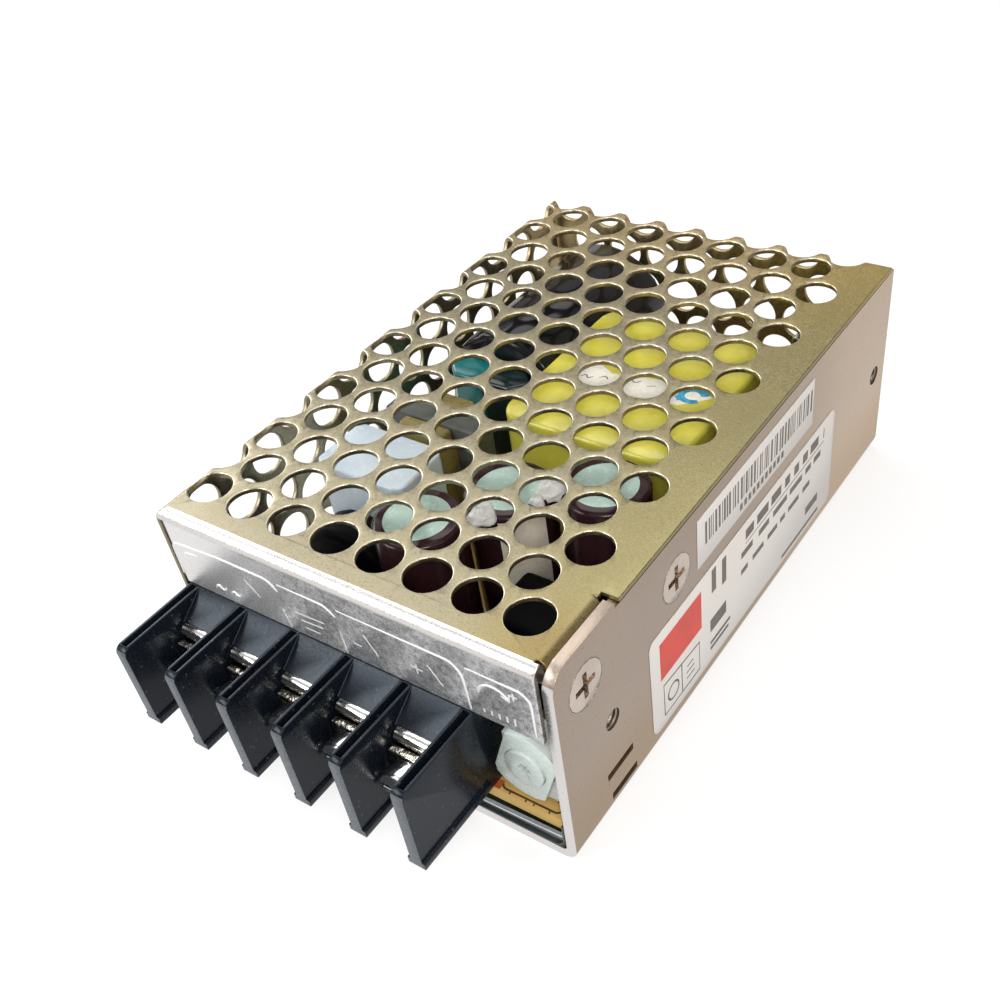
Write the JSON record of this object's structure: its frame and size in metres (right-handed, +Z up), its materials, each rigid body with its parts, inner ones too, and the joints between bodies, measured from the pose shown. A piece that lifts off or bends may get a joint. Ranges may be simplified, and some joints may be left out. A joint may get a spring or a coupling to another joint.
{
  "type": "mesh case switching power supply",
  "caption": "Enclosed switching power supply in a folded perforated sheet case, with a barrier terminal strip and an adjustment trimmer on the front.",
  "frame": {"origin": "Centre of the underside of the case, terminal fins left out.", "axes": "+X across the terminals to the wall with the labels, +Y from the terminals to the back, +Z up."},
  "size_m": [0.0511, 0.0893, 0.028],
  "materials": {
    "case_sheet": "satin",
    "cover_sheet": "satin, fine grain",
    "plated_steel": "satin",
    "contact_metal": "bright",
    "terminal_plastic": "gloss",
    "board_laminate": "satin",
    "insulating_film": "satin",
    "label_film": "matt",
    "white_plastic": "translucent",
    "yellow_tape": "gloss",
    "black_moulding": "satin",
    "dark_sleeve": "gloss",
    "light_blue_case": "gloss",
    "blue_coating": "gloss",
    "teal_coating": "gloss",
    "ferrite": "matt",
    "olive_tape": "satin",
    "cream_sleeve": "matt",
    "spring_steel": "satin"
  },
  "bodies": {
    "case": {"chassis": "case_sheet", "mesh_cover": "cover_sheet", "insulating_sheet": "insulating_film", "circuit_board": "board_laminate", "board_screws": "plated_steel", "cover_screw": "plated_steel", "rectifier_screw": "plated_steel", "rating_label": "label_film", "serial_label": "label_film", "terminal_block": "terminal_plastic", "terminal_contact_1": "contact_metal", "terminal_contact_2": "contact_metal", "terminal_contact_3": "contact_metal", "terminal_contact_4": "contact_metal", "terminal_contact_5": "contact_metal", "trimmer_body": "white_plastic", "output_rectifier": "black_moulding", "rectifier_pad": "label_film", "rectifier_nut": "plated_steel", "switching_transistor": "black_moulding", "transistor_clip": "spring_steel", "transformer_bobbin": "black_moulding", "transformer_winding": "yellow_tape", "output_capacitor_1": "dark_sleeve", "output_capacitor_2": "dark_sleeve", "output_capacitor_3": "dark_sleeve", "auxiliary_capacitor": "dark_sleeve", "bulk_capacitor": "dark_sleeve", "line_capacitor": "light_blue_case", "teal_capacitor": "teal_coating", "disc_capacitor": "blue_coating", "surge_varistor": "black_moulding", "inrush_thermistor": "black_moulding", "fuse": "dark_sleeve", "choke_core": "ferrite", "choke_winding": "olive_tape", "output_choke_core": "ferrite", "output_choke_coil": "cream_sleeve", "bridge_rectifier": "black_moulding", "optocoupler": "black_moulding"},
    "clamp_1": {"clamp_washer_1": "plated_steel"},
    "screw_1": {"terminal_screw_1": "plated_steel"},
    "clamp_2": {"clamp_washer_2": "plated_steel"},
    "screw_2": {"terminal_screw_2": "plated_steel"},
    "clamp_3": {"clamp_washer_3": "plated_steel"},
    "screw_3": {"terminal_screw_3": "plated_steel"},
    "clamp_4": {"clamp_washer_4": "plated_steel"},
    "screw_4": {"terminal_screw_4": "plated_steel"},
    "clamp_5": {"clamp_washer_5": "plated_steel"},
    "screw_5": {"terminal_screw_5": "plated_steel"},
    "rotor": {"trimmer_rotor": "white_plastic"}
  },
  "joints": [
    {"name": "clamp_travel_1", "type": "slide", "parent": "case", "child": "clamp_1", "axis": [0, -1, 0], "range_m": [0, 0.003]},
    {"name": "screw_turn_1", "type": "hinge", "parent": "clamp_1", "child": "screw_1", "pos_m": [-0.01964, -0.04455, 0.0112], "axis": [0, -1, 0], "range_deg": [0, 2160]},
    {"name": "clamp_travel_2", "type": "slide", "parent": "case", "child": "clamp_2", "axis": [0, -1, 0], "range_m": [0, 0.003]},
    {"name": "screw_turn_2", "type": "hinge", "parent": "clamp_2", "child": "screw_2", "pos_m": [-0.01202, -0.04455, 0.0112], "axis": [0, -1, 0], "range_deg": [0, 2160]},
    {"name": "clamp_travel_3", "type": "slide", "parent": "case", "child": "clamp_3", "axis": [0, -1, 0], "range_m": [0, 0.003]},
    {"name": "screw_turn_3", "type": "hinge", "parent": "clamp_3", "child": "screw_3", "pos_m": [-0.0044, -0.04455, 0.0112], "axis": [0, -1, 0], "range_deg": [0, 2160]},
    {"name": "clamp_travel_4", "type": "slide", "parent": "case", "child": "clamp_4", "axis": [0, -1, 0], "range_m": [0, 0.003]},
    {"name": "screw_turn_4", "type": "hinge", "parent": "clamp_4", "child": "screw_4", "pos_m": [0.00322, -0.04455, 0.0112], "axis": [0, -1, 0], "range_deg": [0, 2160]},
    {"name": "clamp_travel_5", "type": "slide", "parent": "case", "child": "clamp_5", "axis": [0, -1, 0], "range_m": [0, 0.003]},
    {"name": "screw_turn_5", "type": "hinge", "parent": "clamp_5", "child": "screw_5", "pos_m": [0.01084, -0.04455, 0.0112], "axis": [0, -1, 0], "range_deg": [0, 2160]},
    {"name": "trimmer_turn", "type": "hinge", "parent": "case", "child": "rotor", "pos_m": [0.0198, -0.0381, 0.0111], "axis": [0, -1, 0], "range_deg": [-115, 115]}
  ],
  "couplings": [
    {"joint": "screw_turn_1", "follows": "clamp_travel_1", "rad_per_m": 12566},
    {"joint": "screw_turn_2", "follows": "clamp_travel_2", "rad_per_m": 12566},
    {"joint": "screw_turn_3", "follows": "clamp_travel_3", "rad_per_m": 12566},
    {"joint": "screw_turn_4", "follows": "clamp_travel_4", "rad_per_m": 12566},
    {"joint": "screw_turn_5", "follows": "clamp_travel_5", "rad_per_m": 12566}
  ]
}
